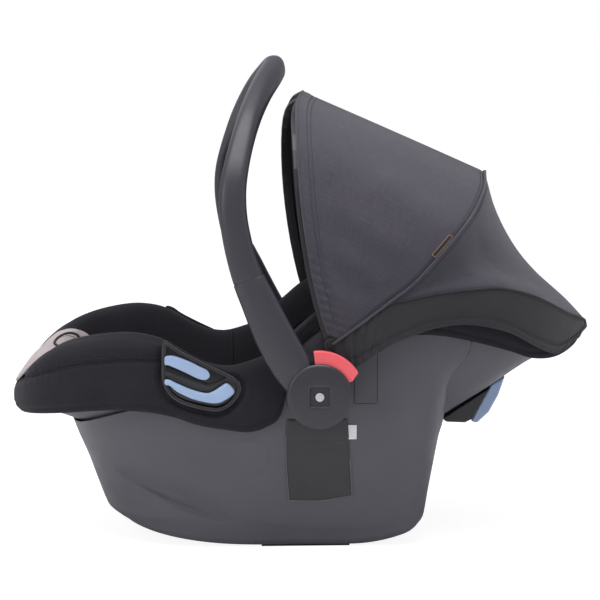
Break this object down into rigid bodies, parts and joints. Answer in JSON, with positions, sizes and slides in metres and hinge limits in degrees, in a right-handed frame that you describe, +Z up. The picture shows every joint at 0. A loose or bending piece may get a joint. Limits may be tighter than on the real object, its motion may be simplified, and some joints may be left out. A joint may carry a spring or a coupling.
{
  "type": "infant car seat",
  "caption": "Rocker-shell infant car seat with padded cover, harness, folding canopy, belt guides and a turning carry handle with release buttons.",
  "frame": {"origin": "middle of the flat of the rocker base, on the surface the seat stands on", "axes": "+X along the seat toward the head end, +Y across the seat toward the child's right, +Z up"},
  "size_m": [0.6721, 0.44, 0.5554],
  "materials": {
    "shell_plastic": "fine-grained dark grey moulded plastic",
    "handle_plastic": "smooth dark grey moulded plastic with a soft sheen",
    "hub_plastic": "smooth dark grey plastic",
    "black_plastic": "black moulded plastic",
    "blue_plastic": "light blue moulded plastic",
    "red_plastic": "bright red moulded plastic",
    "bow_plastic": "black plastic strip",
    "pad_rubber": "black rubber",
    "bright_steel": "bright zinc-plated steel",
    "white_foam": "white expanded foam",
    "cover_fabric": "black knitted fabric over padding",
    "cushion_fabric": "black knitted fabric over padding",
    "pale_fabric": "warm grey knitted fabric",
    "canopy_fabric": "charcoal woven cloth",
    "webbing": "black woven webbing",
    "harness_pad_fabric": "dark padded fabric",
    "tag_fabric": "pale grey woven tag, bare"
  },
  "bodies": {
    "shell": {"bucket_shell": "shell_plastic", "base_skirt": "shell_plastic", "rocker_pad_left": "pad_rubber", "rocker_pad_right": "pad_rubber", "shell_screws": "bright_steel", "foam_liner": "white_foam", "seat_cover": "cover_fabric", "foot_panel": "pale_fabric", "seat_cushion": "cushion_fabric", "head_cushion": "cushion_fabric", "belt_guide_left": "blue_plastic", "belt_guide_right": "blue_plastic", "rear_guide_bracket": "black_plastic", "rear_belt_guide": "blue_plastic", "side_plate_left": "black_plastic", "side_plate_right": "black_plastic", "adapter_cover_left": "black_plastic", "adapter_cover_right": "black_plastic", "side_tags": "tag_fabric", "pivot_boss_left": "shell_plastic", "pivot_boss_right": "shell_plastic", "canopy_clip_left": "black_plastic", "canopy_clip_right": "black_plastic", "canopy_skirt": "canopy_fabric", "shoulder_strap_left": "webbing", "shoulder_strap_right": "webbing", "shoulder_pad_left": "harness_pad_fabric", "shoulder_pad_right": "harness_pad_fabric", "hip_strap_left": "webbing", "hip_strap_right": "webbing", "crotch_strap": "webbing", "crotch_pad": "harness_pad_fabric", "buckle_body": "black_plastic", "buckle_tongue_left": "bright_steel", "buckle_tongue_right": "bright_steel", "splitter_plate": "bright_steel", "adjuster_strap": "webbing", "adjuster_body": "bright_steel"},
    "handle": {"handle_arm_left": "handle_plastic", "handle_arm_right": "handle_plastic", "handle_bar": "handle_plastic", "hub_cover_left": "hub_plastic", "hub_cover_right": "hub_plastic", "hub_screw_left": "bright_steel", "hub_screw_right": "bright_steel", "button_spring_left": "bright_steel", "button_spring_right": "bright_steel"},
    "release_left": {"release_button_left": "red_plastic"},
    "release_right": {"release_button_right": "red_plastic"},
    "lock_left": {"lock_gear_left": "bright_steel"},
    "lock_right": {"lock_gear_right": "bright_steel"},
    "canopy_rear": {"canopy_bow_rear": "bow_plastic", "canopy_panel_rear": "canopy_fabric"},
    "canopy_front": {"canopy_bow_front": "bow_plastic", "canopy_panel_front": "canopy_fabric"},
    "buckle_release": {"buckle_button": "red_plastic"},
    "adjuster": {"adjuster_lever": "black_plastic"}
  },
  "joints": [
    {"name": "handle_turn", "type": "hinge", "parent": "shell", "child": "handle", "pos_m": [0.011, 0, 0.183], "axis": [0, 1, 0], "range_deg": [0, 120]},
    {"name": "release_press_left", "type": "slide", "parent": "handle", "child": "release_left", "axis": [-0.4695, 0, -0.8829], "range_m": [0, 0.005], "stiffness_N_per_m": 600, "deforming": ["button_spring_left"]},
    {"name": "release_press_right", "type": "slide", "parent": "handle", "child": "release_right", "axis": [-0.4695, 0, -0.8829], "range_m": [0, 0.005], "stiffness_N_per_m": 600, "deforming": ["button_spring_right"]},
    {"name": "lock_slide_left", "type": "slide", "parent": "shell", "child": "lock_left", "axis": [0, 1, 0], "range_m": [0, 0.006]},
    {"name": "lock_slide_right", "type": "slide", "parent": "shell", "child": "lock_right", "axis": [0, -1, 0], "range_m": [0, 0.006]},
    {"name": "canopy_rear_fold", "type": "hinge", "parent": "shell", "child": "canopy_rear", "pos_m": [0.025, 0, 0.237], "axis": [0, 1, 0], "range_deg": [0, 12], "deforming": ["canopy_panel_rear"]},
    {"name": "canopy_front_fold", "type": "hinge", "parent": "canopy_rear", "child": "canopy_front", "pos_m": [0.025, 0, 0.237], "axis": [0, 1, 0], "range_deg": [0, 42], "deforming": ["canopy_panel_front"]},
    {"name": "buckle_press", "type": "slide", "parent": "shell", "child": "buckle_release", "axis": [0, 0, -1], "range_m": [0, 0.003], "stiffness_N_per_m": 800},
    {"name": "adjuster_lift", "type": "hinge", "parent": "shell", "child": "adjuster", "pos_m": [-0.13946, 0, 0.11584], "axis": [0, 1, 0], "range_deg": [0, 25], "stiffness_Nm_per_rad": 0.02}
  ],
  "couplings": [
    {"joint": "canopy_front_fold", "follows": "canopy_rear_fold", "ratio": 3.5},
    {"joint": "lock_slide_left", "follows": "release_press_left", "ratio": 1.2},
    {"joint": "lock_slide_right", "follows": "release_press_right", "ratio": 1.2}
  ]
}
